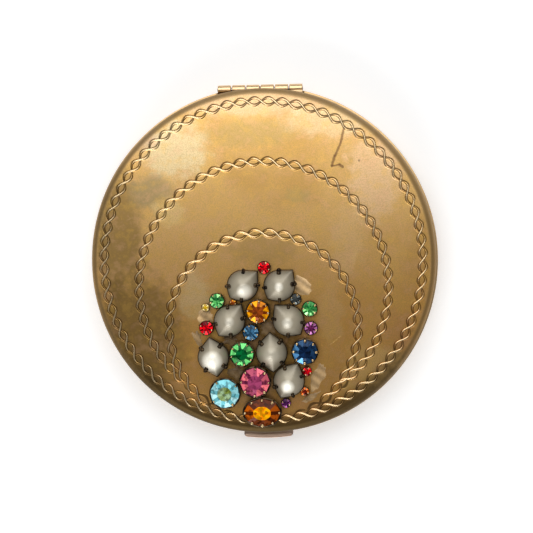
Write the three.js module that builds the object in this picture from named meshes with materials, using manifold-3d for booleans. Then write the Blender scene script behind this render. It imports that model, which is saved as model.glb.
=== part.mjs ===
// A round hinged powder compact: a brass base and lid, a push catch, the powder fittings, a mirror,
// and a cluster of glass stones in pronged cups on the lid. Millimetres, +Z up through the lid,
// +Y towards the hinge, origin at the middle of the flat bottom.
import * as THREE from "three";
import { mergeVertices } from "three/addons/utils/BufferGeometryUtils.js";
import Module from "manifold-3d";

const wasm = await Module();
wasm.setup();

// Driving dimensions
const lidRadius = 44.5;
const baseRadius = 44.9;
const wall = 0.8; // of the base
const lidWall = 0.7;
const gap = 0.3; // between pieces that touch on the real compact
const rimHeight = 5.0; // top of the base wall
const lidRimHeight = rimHeight + gap;
const crownHeight = 12.4; // lid surface at its middle
const domeRadius = 420; // of the lid's gentle crown
const shoulderRadius = 1.8; // rolled edge of the lid
const footRadius = 40.2; // flat part of the bottom
const baseCorner = { across: baseRadius - footRadius, up: 3.2 };
const hinge = { y: 44.25, z: 5.15, radius: 1.15, bore: 0.62, pitch: 3.7, knuckles: 6 };
const pinRadius = 0.45;
const leafThickness = 0.5;
const catchSize = { halfWidth: 6.5, reach: 46.3, bottom: 2.6, top: 4.8, travel: 0.8 };
const wellRadius = 35.4; // inner wall of the frame, around the powder
const mirrorRadius = 41.4;
const round = 64; // sides of the large turned pieces

// Materials
const finish = (color, roughness, metalness) =>
  new THREE.MeshStandardMaterial({ color, roughness, metalness });
const agedBrass = finish("#a8884e", 0.35, 1);
const brightBrass = finish("#cda766", 0.3, 1);
const roseBrass = finish("#c79a7c", 0.4, 1);
const steel = finish("#8f8d88", 0.4, 1);
const silvered = finish("#dfe3e6", 0.03, 1);
const card = finish("#5b5348", 0.9, 0);
const powder = finish("#e5bd9c", 0.95, 0);
const gauze = finish("#d9cfba", 0.8, 0);
const velour = finish("#e9c9b4", 1, 0);
const satin = finish("#d6a08c", 0.5, 0);
const cupBrass = finish("#7d6a45", 0.45, 1);
const glass = (color) => finish(color, 0.15, 0);

const compact = new THREE.Group();

function add(name, geometry, material, group = compact) {
  const mesh = new THREE.Mesh(geometry, material);
  mesh.name = name;
  group.add(mesh);
  return mesh;
}

// Booleans on closed geometries
function toSolid(geometry) {
  const bare = geometry.index ? geometry.toNonIndexed() : geometry.clone();
  bare.deleteAttribute("normal");
  bare.deleteAttribute("uv");
  const merged = mergeVertices(bare, 1e-4);
  return new wasm.Manifold(
    new wasm.Mesh({
      numProp: 3,
      vertProperties: merged.attributes.position.array,
      triVerts: new Uint32Array(merged.index.array),
    }),
  );
}

function toGeometry(solid) {
  const mesh = solid.getMesh();
  const geometry = new THREE.BufferGeometry();
  geometry.setAttribute("position", new THREE.BufferAttribute(mesh.vertProperties, 3));
  geometry.setIndex(new THREE.BufferAttribute(mesh.triVerts, 1));
  const flat = geometry.toNonIndexed();
  flat.computeVertexNormals();
  return flat;
}

const join = (first, ...others) =>
  toGeometry(others.reduce((solid, other) => solid.add(toSolid(other)), toSolid(first)));
const cut = (first, ...tools) =>
  toGeometry(tools.reduce((solid, tool) => solid.subtract(toSolid(tool)), toSolid(first)));
const common = (first, second) => toGeometry(toSolid(first).intersect(toSolid(second)));

// Turns [radius, height] points about Z. The outline runs so that its faces point out.
function turned(outline, sides = round) {
  const closed = [...outline, outline[0]];
  const area = outline.reduce(
    (sum, [r, z], i) => sum + r * closed[i + 1][1] - closed[i + 1][0] * z,
    0,
  );
  const onAxis = outline[0][0] === 0 && outline[outline.length - 1][0] === 0;
  const loop = (onAxis ? outline : closed).map(([r, z]) => new THREE.Vector2(r, z));
  if (area < 0) loop.reverse();
  return new THREE.LatheGeometry(loop, sides).rotateX(Math.PI / 2);
}

// Points along an elliptical arc, in degrees
function arc(r, z, across, up, from, to, steps) {
  return Array.from({ length: steps + 1 }, (_, i) => {
    const angle = THREE.MathUtils.degToRad(from + ((to - from) * i) / steps);
    return [r + across * Math.cos(angle), z + up * Math.sin(angle)];
  });
}

const ring = (inner, outer, low, high, sides = round) =>
  turned([[inner, low], [outer, low], [outer, high], [inner, high]], sides);
const disc = (radius, low, high, sides = round) =>
  turned([[0, low], [radius, low], [radius, high], [0, high]], sides);

function box([x0, y0, z0], [x1, y1, z1]) {
  return new THREE.BoxGeometry(x1 - x0, y1 - y0, z1 - z0).translate(
    (x0 + x1) / 2,
    (y0 + y1) / 2,
    (z0 + z1) / 2,
  );
}

const barrel = (radius, x0, x1, sides) =>
  new THREE.CylinderGeometry(radius, radius, x1 - x0, sides)
    .rotateZ(Math.PI / 2)
    .translate((x0 + x1) / 2, hinge.y, hinge.z);

const domeHeight = (radius) => crownHeight - radius ** 2 / (2 * domeRadius);

// Base: a shallow pan with a rolled lower edge, notched for the hinge and the catch
const hingeHalf = (hinge.pitch * hinge.knuckles) / 2;
const notchHalf = hingeHalf + gap;
const inside = baseRadius - wall;
const basePan = turned([
  [0, 0],
  ...arc(footRadius, baseCorner.up, baseCorner.across, baseCorner.up, -90, 0, 5),
  [baseRadius, rimHeight],
  [inside, rimHeight],
  ...arc(footRadius, baseCorner.up, baseCorner.across - wall, baseCorner.up - wall, 0, -90, 4),
  [0, wall],
]);
const hingeNotch = box([-notchHalf, 40, 3.7], [notchHalf, 50, 6.6]);
const catchNotch = box(
  [-catchSize.halfWidth - 0.4, -50, catchSize.bottom - gap],
  [catchSize.halfWidth + 0.4, -42, 9],
);
add("base_shell", cut(basePan, hingeNotch, catchNotch), agedBrass);

// Frame: the collar that the lid closes over, the deck, and the wall around the powder
const collarRadius = 42.4;
const collarTop = 6.4;
const deckTop = 5.0;
const sheet = 0.6;
const framePan = turned([
  [wellRadius, 1.1],
  [wellRadius + sheet, 1.1],
  [wellRadius + sheet, deckTop - sheet],
  [collarRadius - sheet, deckTop - sheet],
  [collarRadius - sheet, 2.2],
  [collarRadius, 2.2],
  [collarRadius, collarTop],
  [collarRadius - sheet, collarTop],
  [collarRadius - sheet, deckTop],
  [wellRadius, deckTop],
]);
const catchBay = box([-7.6, -44, 1], [7.6, -40.2, 7]);
add("inner_frame", cut(framePan, catchBay), brightBrass);

// Powder fittings
const fit = wellRadius - 0.4;
add(
  "powder_pan",
  turned([[0, 1.1], [fit, 1.1], [fit, 3.2], [fit - 0.4, 3.2], [fit - 0.4, 1.5], [0, 1.5]]),
  brightBrass,
);
add("powder_cake", disc(fit - 0.8, 1.8, 2.9), powder);
add("sifter_ring", ring(30.6, fit, 3.5, 4.0), brightBrass);
add("sifter_mesh", disc(30.3, 3.6, 3.85), gauze);
const puffRadius = 34.2;
const puff = turned([
  [0, 4.3],
  ...arc(puffRadius - 1, 5.35, 1, 1.05, -90, 90, 4),
  [0, 6.4],
]);
add("powder_puff", puff, velour);
add("puff_ribbon", box([-32, -6, 6.7], [32, 6, 7.0]), satin);

// Hinge: three knuckles on each leaf, and the pin through all six
const leafOuter = lidRadius - lidWall - 0.35;
const leafInner = leafOuter - leafThickness;
const knuckleStart = (i) => -hingeHalf + i * hinge.pitch + gap / 2;

// A strip behind the wall, with a tab at each knuckle that steps out through the notch
function hingeLeaf(first, strip, step) {
  const low = Math.min(strip[0], step[0]);
  const high = Math.max(strip[1], step[1]);
  const last = first + 4;
  const slice = ([z0, z1], x0, x1) =>
    common(ring(leafInner, leafOuter, z0, z1), box([x0, 40, z0 - 1], [x1, 46, z1 + 1]));
  const knuckleEnd = (i) => knuckleStart(i) + hinge.pitch - gap;
  const pieces = [first, first + 2, last].flatMap((i) => {
    const x0 = knuckleStart(i);
    const x1 = knuckleEnd(i);
    const back = Math.sqrt(leafInner ** 2 - Math.max(Math.abs(x0), Math.abs(x1)) ** 2) + 0.1;
    return [
      slice([low, high], x0, x1),
      box([x0, back, step[0]], [x1, hinge.y, step[1]]),
      barrel(hinge.radius, x0, x1, 16),
    ];
  });
  const leaf = join(slice(strip, knuckleStart(first), knuckleEnd(last)), ...pieces);
  return cut(leaf, barrel(hinge.bore, -15, 15, 12));
}
add("base_hinge_leaf", hingeLeaf(0, [2.5, 3.6], [4.1, 4.7]), brightBrass);
add("hinge_pin", barrel(pinRadius, -hingeHalf, hingeHalf, 12), steel);

// Catch: the push piece, its guide and its leaf spring
const postBack = -41.3;
const pushPlate = common(
  ring(43.4, catchSize.reach, catchSize.bottom, catchSize.top),
  box([-catchSize.halfWidth, -50, 2], [catchSize.halfWidth, -42, 6]),
);
add(
  "catch_button",
  join(
    pushPlate,
    box([-3.6, -43.9, catchSize.bottom], [3.6, postBack, 4.0]),
    box([-3.6, postBack - 0.6, catchSize.bottom], [3.6, postBack, 6.6]),
    box([-3.2, postBack - 1.0, 6.1], [3.2, postBack, 6.6]),
  ),
  roseBrass,
);
const guideBack = -38.3;
add(
  "catch_guide",
  join(
    box([-7.2, -41.0, 1.1], [7.2, guideBack, 1.5]),
    box([-7.2, guideBack - 0.5, 1.1], [7.2, guideBack, 4.0]),
    box([-7.2, -41.0, 1.1], [-6.7, guideBack, 3.6]),
    box([6.7, -41.0, 1.1], [7.2, guideBack, 3.6]),
  ),
  brightBrass,
);

// The spring is a bowed strip, drawn as it lies with the button pressed.
const bow = { radius: 19, front: postBack + catchSize.travel + gap, spread: 19, thickness: 0.3 };
const bowStrip = new THREE.Shape();
const [bowFrom, bowTo] = [270 - bow.spread, 270 + bow.spread].map(THREE.MathUtils.degToRad);
bowStrip.absarc(0, bow.front + bow.radius, bow.radius, bowFrom, bowTo, false);
bowStrip.absarc(0, bow.front + bow.radius, bow.radius - bow.thickness, bowTo, bowFrom, true);
add(
  "catch_spring",
  new THREE.ExtrudeGeometry(bowStrip, { depth: 1.8, bevelEnabled: false, curveSegments: 10 })
    .translate(0, 0, 1.9),
  steel,
);

// Lid: a shallow domed cover with a rolled shoulder, notched for the hinge
const shoulderStart = lidRadius - shoulderRadius;
const shoulderHeight = domeHeight(shoulderStart) - shoulderRadius;
const domeSteps = [34, 25, 15, 0];
const lidCover = turned([
  [lidRadius - lidWall, lidRimHeight],
  [lidRadius, lidRimHeight],
  ...arc(shoulderStart, shoulderHeight, shoulderRadius, shoulderRadius, 0, 90, 4),
  ...domeSteps.map((r) => [r, domeHeight(r)]),
  ...domeSteps.map((r) => [r, domeHeight(r) - lidWall]).reverse(),
  ...arc(shoulderStart, shoulderHeight, shoulderRadius - lidWall, shoulderRadius - lidWall, 90, 0, 3),
]);
add("lid_shell", cut(lidCover, hingeNotch), agedBrass);
add("lid_hinge_leaf", hingeLeaf(1, [6.7, 8.0], [5.6, 6.2]), brightBrass);

const keeperOuter = lidRadius - lidWall - gap;
add(
  "lid_keeper",
  join(
    common(ring(43.0, keeperOuter, 5.6, 7.4), box([-4, -50, 5], [4, -42, 8])),
    common(ring(42.6, keeperOuter, 5.6, 6.0), box([-4, -50, 5], [4, -42, 8])),
  ),
  brightBrass,
);

// Mirror, its backing card, and the ring that holds both in the lid
const mirrorRingRadius = 42.6;
add(
  "mirror_ring",
  turned([
    [38.0, 6.9],
    [mirrorRingRadius, 6.9],
    [mirrorRingRadius, 8.9],
    [mirrorRingRadius - sheet, 8.9],
    [mirrorRingRadius - sheet, 7.2],
    [38.0, 7.2],
  ]),
  brightBrass,
);
add("mirror", disc(mirrorRadius, 7.5, 8.4), silvered);
add("mirror_backing", disc(mirrorRadius, 8.7, 9.1), card);

// Stones: lozenge drops with two points, and round and oval cut stones, each in its cup
const drop = { halfWidth: 3.9, halfLength: 5.2, girdle: 1.5, dome: 2.8 };
const drops = [
  { x: -5.2, y: -5.9, turn: 43 },
  { x: 4.2, y: -6.1, turn: 48 },
  { x: -8.8, y: -14.9, turn: 53 },
  { x: 6.3, y: -15.1, turn: 130 },
  { x: -13.2, y: -24.2, turn: 100 },
  { x: 1.8, y: -23.3, turn: 94 },
  { x: 6.0, y: -30.7, turn: 63 },
];
const cutStones = [
  { name: "topaz", x: -1.4, y: -12.6, radius: 3.0, color: "#b8560e" },
  { name: "emerald", x: -5.8, y: -23.4, radius: 3.1, color: "#128a3c" },
  { name: "sapphire", x: 10.3, y: -23.1, radius: 3.3, color: "#27477f" },
  { name: "rose", x: -2.6, y: -30.6, radius: 3.9, color: "#b44a73" },
  { name: "aqua", x: -10.4, y: -33.4, radius: 3.85, color: "#8ccfd0" },
  { name: "amber_oval", x: -1.0, y: -38.5, radius: 3.7, stretch: 1.3, color: "#c96a10" },
  { name: "light_green_left", x: -11.9, y: -9.7, radius: 1.9, color: "#4fc06a" },
  { name: "light_green_right", x: 11.8, y: -12.2, radius: 1.95, color: "#4fc06a" },
  { name: "steel_blue", x: -3.4, y: -18.0, radius: 2.05, color: "#3f6d96" },
];
const smallStones = [
  { name: "red_top", x: 0.4, y: -1.4, radius: 1.6, color: "#c01020" },
  { name: "red_left", x: -14.8, y: -16.6, radius: 1.8, color: "#b00e20" },
  { name: "red_right", x: 10.7, y: -28.4, radius: 1.2, color: "#c01020" },
  { name: "black_diamond", x: 8.3, y: -9.7, radius: 1.4, color: "#4d5250" },
  { name: "violet", x: 12.0, y: -17.2, radius: 1.7, color: "#6d2a63" },
  { name: "garnet", x: 10.0, y: -33.6, radius: 1.15, color: "#7a1c10" },
  { name: "purple", x: 5.1, y: -36.5, radius: 1.2, color: "#4a1a55" },
  { name: "yellow", x: -14.9, y: -11.4, radius: 1.0, color: "#d8b01c" },
  { name: "small_amber", x: -7.8, y: -10.4, radius: 0.9, color: "#a5590f" },
];

// A frame that stands on the lid at x, y, square to its crown
function seat({ x, y, turn = 0 }) {
  const group = new THREE.Group();
  const away = Math.hypot(x, y);
  group.position.set(x, y, domeHeight(away) + gap);
  group.quaternion
    .setFromUnitVectors(
      new THREE.Vector3(0, 0, 1),
      new THREE.Vector3(x, y, domeRadius).normalize(),
    )
    .multiply(
      new THREE.Quaternion().setFromAxisAngle(
        new THREE.Vector3(0, 0, 1),
        THREE.MathUtils.degToRad(turn),
      ),
    );
  compact.add(group);
  return group;
}

// Draws a turned shape of radius 1 out to the drop's outline: a circle with a point at each end
function lozenge(geometry) {
  const { halfWidth, halfLength } = drop;
  const flank = Math.acos(halfWidth / halfLength);
  const positions = geometry.attributes.position;
  for (let i = 0; i < positions.count; i++) {
    const fromTip = Math.abs(Math.atan2(positions.getY(i), Math.abs(positions.getX(i))));
    const reach = halfWidth / Math.cos(Math.max(0, flank - fromTip));
    positions.setXY(i, positions.getX(i) * reach, positions.getY(i) * reach);
  }
  return geometry;
}

drops.forEach((place, i) => {
  const { girdle, dome } = drop;
  const seated = seat(place);
  const cup = [[0, 0], [0.68, 0], [0.96, girdle - gap], [0, girdle - gap]];
  const stone = [
    [0, girdle],
    [1, girdle],
    [0.98, girdle + 0.12 * dome],
    [0.78, girdle + 0.45 * dome],
    [0.42, girdle + 0.82 * dome],
    [0.14, girdle + 0.98 * dome],
    [0, girdle + dome],
  ];
  add(`drop_cup_${i + 1}`, lozenge(turned(cup, 24)), cupBrass, seated);
  add(`drop_stone_${i + 1}`, lozenge(turned(stone, 24)), glass("#a9a294"), seated);
});

// Depth of the cone under a cut stone's girdle, height of its crown, and height of its girdle
function cutOf(radius) {
  const depth = 0.58 * radius;
  return { depth, crown: 0.3 * radius, girdle: depth + 0.5 };
}

for (const stone of cutStones) {
  const { name, radius, stretch = 1, color } = stone;
  const { depth, crown, girdle } = cutOf(radius);
  const seated = seat(stone);
  const sides = radius > 2.5 ? 20 : 14;
  const cup = [
    [0, 0],
    [0.62 * radius, 0],
    [0.97 * radius, girdle - gap],
    [0.88 * radius, girdle - gap - 0.12 * depth],
    [0, girdle - gap - depth],
  ];
  const crownCut = [
    [0, girdle - depth],
    [radius, girdle],
    [radius, girdle + 0.1],
    [0.6 * radius, girdle + crown],
    [0, girdle + crown],
  ];
  add(`${name}_cup`, turned(cup, sides).scale(stretch, 1, 1), cupBrass, seated);
  add(`${name}_stone`, turned(crownCut, sides).scale(stretch, 1, 1), glass(color), seated);
}

// The smallest stones are one solid each with their cups
for (const stone of smallStones) {
  const { name, radius, color } = stone;
  const { crown, girdle } = cutOf(radius);
  const outline = [
    [0, 0],
    [0.7 * radius, 0],
    [radius, girdle - gap],
    [radius, girdle + 0.1],
    [0.6 * radius, girdle + crown],
    [0, girdle + crown],
  ];
  add(`${name}_stone`, turned(outline, 12), glass(color), seat(stone));
}

export default compact;
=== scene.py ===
import math
import random

import bmesh
import bpy
from mathutils import Matrix, Vector


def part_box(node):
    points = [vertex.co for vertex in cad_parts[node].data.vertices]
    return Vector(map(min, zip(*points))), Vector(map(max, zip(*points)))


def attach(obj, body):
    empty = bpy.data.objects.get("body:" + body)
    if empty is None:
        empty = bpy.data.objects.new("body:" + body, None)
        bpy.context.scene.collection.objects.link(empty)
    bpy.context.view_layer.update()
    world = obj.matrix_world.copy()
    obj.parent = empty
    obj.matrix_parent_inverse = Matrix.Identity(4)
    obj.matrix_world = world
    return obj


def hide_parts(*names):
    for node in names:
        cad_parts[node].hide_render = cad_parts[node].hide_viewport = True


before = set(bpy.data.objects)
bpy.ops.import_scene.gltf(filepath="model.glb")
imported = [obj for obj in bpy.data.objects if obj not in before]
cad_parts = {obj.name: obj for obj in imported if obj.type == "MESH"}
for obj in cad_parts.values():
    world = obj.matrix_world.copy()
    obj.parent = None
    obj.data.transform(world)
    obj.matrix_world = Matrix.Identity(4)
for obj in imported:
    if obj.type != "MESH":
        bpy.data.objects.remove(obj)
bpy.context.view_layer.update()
mm = 0.001
print("frame loaded")

lidBox = [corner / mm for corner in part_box("lid_shell")]
baseBox = [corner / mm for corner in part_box("base_shell")]
case = {
    "lidRadius": lidBox[1].x,
    "baseRadius": baseBox[1].x,
    "lidRim": lidBox[0].z,
    "baseRim": baseBox[1].z,
    "crown": lidBox[1].z,
    "domeRadius": 420.0,
    "shoulder": 1.8,
    "lidWall": 0.7,
    "baseWall": 0.8,
    "turns": 192,
}


# shapes: outlines are (radius, height) in mm, turned about Z
def arcPoints(r, z, across, up, start, stop, steps):
    points = []
    for i in range(steps + 1):
        angle = math.radians(start + (stop - start) * i / steps)
        points.append((r + across * math.cos(angle), z + up * math.sin(angle)))
    return points


def filleted(corners, steps=4):
    points = []
    count = len(corners)
    for i, (r, z, size) in enumerate(corners):
        here = Vector((r, z))
        if size == 0:
            points.append((r, z))
            continue
        before = Vector(corners[i - 1][:2])
        after = Vector(corners[(i + 1) % count][:2])
        toBefore = (before - here).normalized()
        toAfter = (after - here).normalized()
        start = here + toBefore * size
        end = here + toAfter * size
        for k in range(steps + 1):
            t = k / steps
            points.append(tuple((1 - t) ** 2 * start + 2 * t * (1 - t) * here + t * t * end))
    return points


def domeHeight(r):
    shoulderStart = case["lidRadius"] - case["shoulder"]
    if r <= shoulderStart:
        return case["crown"] - r * r / (2 * case["domeRadius"])
    edge = case["crown"] - shoulderStart**2 / (2 * case["domeRadius"])
    drop = min(r - shoulderStart, case["shoulder"])
    return edge - case["shoulder"] + math.sqrt(case["shoulder"] ** 2 - drop**2)


def cleaned(bm, distance=1e-6):
    bmesh.ops.remove_doubles(bm, verts=bm.verts, dist=distance)
    bmesh.ops.recalc_face_normals(bm, faces=bm.faces)
    return bm


def turned(outline, steps=None, closed=False):
    bm = bmesh.new()
    verts = [bm.verts.new((r * mm, 0, z * mm)) for r, z in outline]
    edges = [bm.edges.new(pair) for pair in zip(verts, verts[1:])]
    if closed:
        edges.append(bm.edges.new((verts[-1], verts[0])))
    bmesh.ops.spin(
        bm,
        geom=verts + edges,
        cent=(0, 0, 0),
        axis=(0, 0, 1),
        angle=math.tau,
        steps=steps or case["turns"],
        use_merge=True,
    )
    return cleaned(bm)


def rounded(bm, edges, size, segments):
    bmesh.ops.bevel(
        bm, geom=edges, offset=size * mm, affect="EDGES", segments=segments, profile=0.5, material=-1
    )


def boxShape(low, high, bevel=0.0):
    bm = bmesh.new()
    low, high = Vector(low) * mm, Vector(high) * mm
    size = Matrix.Diagonal((*(high - low), 1))
    bmesh.ops.create_cube(bm, size=1, matrix=Matrix.Translation((low + high) / 2) @ size)
    if bevel:
        rounded(bm, bm.edges[:], bevel, 2)
    return bm


def merged(*shapes):
    whole = shapes[0]
    for shape in shapes[1:]:
        mesh = bpy.data.meshes.new("joined")
        shape.to_mesh(mesh)
        shape.free()
        whole.from_mesh(mesh)
        bpy.data.meshes.remove(mesh)
    return whole


def makePiece(name, bm, material, body, nodes=(), sharp=35):
    mesh = bpy.data.meshes.new(name)
    bm.to_mesh(mesh)
    bm.free()
    piece = bpy.data.objects.new(name, mesh)
    bpy.context.collection.objects.link(piece)
    mesh.materials.append(material)
    mesh.shade_smooth()
    mesh.set_sharp_from_angle(angle=math.radians(sharp))
    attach(piece, body)
    if nodes:
        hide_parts(*nodes)
    return piece


def carve(piece, *cutters):
    for cutter in cutters:
        mesh = bpy.data.meshes.new("cutter")
        cutter.to_mesh(mesh)
        cutter.free()
        tool = bpy.data.objects.new("cutter", mesh)
        bpy.context.collection.objects.link(tool)
        change = piece.modifiers.new("carve", "BOOLEAN")
        change.object = tool
        change.operation = "DIFFERENCE"
        change.solver = "EXACT"
        bpy.context.view_layer.update()
        result = bpy.data.meshes.new_from_object(
            piece.evaluated_get(bpy.context.evaluated_depsgraph_get())
        )
        piece.modifiers.clear()
        piece.data = result
        bpy.data.objects.remove(tool)
    piece.data.shade_smooth()
    piece.data.set_sharp_from_angle(angle=math.radians(35))
    return piece


# materials
def addNode(tree, kind, inputs=None, **settings):
    node = tree.nodes.new(kind)
    for key, value in settings.items():
        setattr(node, key, value)
    for key, value in (inputs or {}).items():
        if isinstance(value, bpy.types.NodeSocket):
            tree.links.new(value, node.inputs[key])
        else:
            node.inputs[key].default_value = value
    return node


def newMaterial(name, **principled):
    material = bpy.data.materials.new(name)
    material.use_nodes = True
    tree = material.node_tree
    shader = tree.nodes["Principled BSDF"]
    for key, value in principled.items():
        shader.inputs[key.replace("_", " ")].default_value = value
    return material, tree, shader


def place(tree, scale=1.0):
    coord = addNode(tree, "ShaderNodeTexCoord")
    scaled = addNode(
        tree,
        "ShaderNodeVectorMath",
        {0: coord.outputs["Object"], "Scale": scale / mm},
        operation="SCALE",
    )
    return scaled.outputs["Vector"]


def newGroup(name, inputs, outputs):
    group = bpy.data.node_groups.new(name, "ShaderNodeTree")
    for socket, kind, value in inputs:
        made = group.interface.new_socket(socket, in_out="INPUT", socket_type=kind)
        if value is not None:
            made.default_value = value
    for socket, kind in outputs:
        group.interface.new_socket(socket, in_out="OUTPUT", socket_type=kind)
    start = group.nodes.new("NodeGroupInput")
    end = group.nodes.new("NodeGroupOutput")
    return group, start.outputs, end.inputs


def useGroup(tree, group, inputs):
    node = tree.nodes.new("ShaderNodeGroup")
    node.node_tree = group
    for key, value in inputs.items():
        if isinstance(value, bpy.types.NodeSocket):
            tree.links.new(value, node.inputs[key])
        else:
            node.inputs[key].default_value = value
    return node.outputs


def mathNode(tree, operation, a, b=0.0, clamp=False):
    node = addNode(tree, "ShaderNodeMath", {0: a, 1: b}, operation=operation, use_clamp=clamp)
    return node.outputs[0]


def times(tree, a, b):
    return mathNode(tree, "MULTIPLY", a, b)


def plus(tree, a, b):
    return mathNode(tree, "ADD", a, b)


def minus(tree, a, b):
    return mathNode(tree, "SUBTRACT", a, b)


def vectorNode(tree, operation, a, b=(0, 0, 0), output="Vector"):
    return addNode(tree, "ShaderNodeVectorMath", {0: a, 1: b}, operation=operation).outputs[output]


def noise(tree, position, scale, detail, roughness=0.5, output="Fac"):
    settings = {"Vector": position, "Scale": scale, "Detail": detail, "Roughness": roughness}
    return addNode(tree, "ShaderNodeTexNoise", settings).outputs[output]


def attribute(tree, name, output="Fac"):
    return addNode(tree, "ShaderNodeAttribute", attribute_name=name).outputs[output]


# distance from a centre, seen along Z
def reachFrom(tree, position, centre):
    away = vectorNode(tree, "SUBTRACT", position, centre)
    flat = vectorNode(tree, "MULTIPLY", away, (1, 1, 0))
    return vectorNode(tree, "LENGTH", flat, output="Value")


def mixColor(tree, factor, a, b):
    return addNode(tree, "ShaderNodeMix", {0: factor, 6: a, 7: b}, data_type="RGBA").outputs[2]


# lays a tone over a color where the mask is, at a share of full strength: used for stains and wear, and for
# painted light and shade
def stainOrPaintedLight(tree, color, mask, share, tone):
    return mixColor(tree, times(tree, mask, share), color, tone)


def ramp(tree, value, low, high):
    given = {"Value": value, "From Min": low, "From Max": high}
    return addNode(tree, "ShaderNodeMapRange", given, interpolation_type="SMOOTHSTEP").outputs[0]


def addBump(tree, shader, height, distance, strength):
    given = {"Height": height, "Distance": distance, "Strength": strength}
    tree.links.new(addNode(tree, "ShaderNodeBump", given).outputs[0], shader.inputs["Normal"])


vectorKind, floatKind = "NodeSocketVector", "NodeSocketFloat"


def makeTarnishGroup():
    group, given, out = newGroup(
        "tarnish",
        [("Position", vectorKind, None), ("Size", floatKind, 10.0), ("Amount", floatKind, 0.5)],
        [("Mask", floatKind), ("Grain", floatKind)],
    )
    scale = mathNode(group, "DIVIDE", 1.0, given["Size"])
    broad = noise(group, given["Position"], scale, 6.0, 0.62)
    low = minus(group, 0.72, times(group, given["Amount"], 0.4))
    group.links.new(ramp(group, broad, low, plus(group, low, 0.22)), out["Mask"])
    group.links.new(noise(group, given["Position"], 3.5, 4.0, 0.7), out["Grain"])
    return group


def makeScratchGroup():
    group, given, out = newGroup(
        "scratches",
        [("Position", vectorKind, None), ("Turn", floatKind, 0.0), ("Density", floatKind, 0.5)],
        [("Mask", floatKind)],
    )
    turn = addNode(
        group,
        "ShaderNodeVectorRotate",
        {"Vector": given["Position"], "Angle": given["Turn"]},
        rotation_type="Z_AXIS",
    ).outputs[0]
    warp = noise(group, turn, 0.05, 1.0, output="Color")
    wavy = addNode(
        group, "ShaderNodeVectorMath", {0: warp, 1: (14.0, 14.0, 0.0), 2: turn}, operation="MULTIPLY_ADD"
    ).outputs[0]
    lines = noise(group, vectorNode(group, "MULTIPLY", wavy, (3.4, 0.06, 0.5)), 1.0, 2.0)
    low = minus(group, 0.78, times(group, given["Density"], 0.2))
    group.links.new(ramp(group, lines, low, plus(group, low, 0.08)), out["Mask"])
    return group


def makeSpotGroup():
    group, given, out = newGroup(
        "spot",
        [
            ("Position", vectorKind, None),
            ("Centre", vectorKind, None),
            ("Size", vectorKind, (5.0, 5.0, 50.0)),
            ("Ragged", floatKind, 0.4),
        ],
        [("Mask", floatKind)],
    )
    away = vectorNode(group, "SUBTRACT", given["Position"], given["Centre"])
    share = vectorNode(group, "DIVIDE", away, given["Size"])
    reach = vectorNode(group, "LENGTH", share, output="Value")
    edge = minus(group, noise(group, given["Position"], 0.35, 5.0, 0.6), 0.5)
    shift = times(group, edge, times(group, given["Ragged"], 3.0))
    group.links.new(ramp(group, plus(group, reach, shift), 1.15, 0.55), out["Mask"])
    return group


# a thin line from one point to another, with uneven edges
def makeLineGroup():
    group, given, out = newGroup(
        "line",
        [
            ("Position", vectorKind, None),
            ("Start", vectorKind, None),
            ("Run", vectorKind, (1.0, 0.0, 0.0)),
            ("Width", floatKind, 0.3),
        ],
        [("Mask", floatKind)],
    )
    run, width = given["Run"], given["Width"]
    away = vectorNode(group, "SUBTRACT", given["Position"], given["Start"])
    flat = vectorNode(group, "MULTIPLY", away, (1, 1, 0))
    dots = [vectorNode(group, "DOT_PRODUCT", other, run, "Value") for other in (flat, run)]
    share = mathNode(group, "DIVIDE", *dots, clamp=True)
    along = addNode(group, "ShaderNodeVectorMath", {0: run, "Scale": share}, operation="SCALE")
    gap = vectorNode(group, "DISTANCE", flat, along.outputs[0], "Value")
    wobble = minus(group, noise(group, given["Position"], 1.1, 3.0), 0.5)
    gap = plus(group, gap, times(group, wobble, 0.7))
    group.links.new(ramp(group, gap, times(group, width, 1.6), times(group, width, 0.4)), out["Mask"])
    return group


# dark lines that follow both edges of a rope's strokes: patina in the hollows beside the ridges, with
# painted shade there
def makeGrooveGroup():
    group, given, out = newGroup(
        "ropeGroove",
        [
            ("Position", vectorKind, None),
            ("Centre", vectorKind, None),
            ("Radius", floatKind, 40.0),
            ("Strokes", floatKind, 60.0),
            ("Swing", floatKind, 1.0),
            ("Shift", floatKind, 0.0),
        ],
        [("Mask", floatKind)],
    )
    away = vectorNode(group, "SUBTRACT", given["Position"], given["Centre"])
    reach = reachFrom(group, given["Position"], given["Centre"])
    parts = addNode(group, "ShaderNodeSeparateXYZ", {0: away}).outputs
    clock = mathNode(group, "ARCTAN2", parts["X"], parts["Y"])
    phase = times(group, clock, times(group, given["Strokes"], 0.5))
    phase = minus(group, phase, times(group, given["Shift"], math.pi))
    swing = times(group, mathNode(group, "ABSOLUTE", mathNode(group, "SINE", phase)), given["Swing"])
    side = mathNode(group, "ABSOLUTE", minus(group, reach, given["Radius"]))
    gap = mathNode(group, "ABSOLUTE", minus(group, side, swing))
    group.links.new(ramp(group, gap, 0.54, 0.24), out["Mask"])
    return group


tarnish = makeTarnishGroup()
scratches = makeScratchGroup()
spot = makeSpotGroup()
line = makeLineGroup()
groove = makeGrooveGroup()


def clouds(tree, position, size, amount):
    return useGroup(tree, tarnish, {"Position": position, "Size": size, "Amount": amount})


def scratched(tree, position, turn, density):
    return useGroup(tree, scratches, {"Position": position, "Turn": turn, "Density": density})["Mask"]


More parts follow.
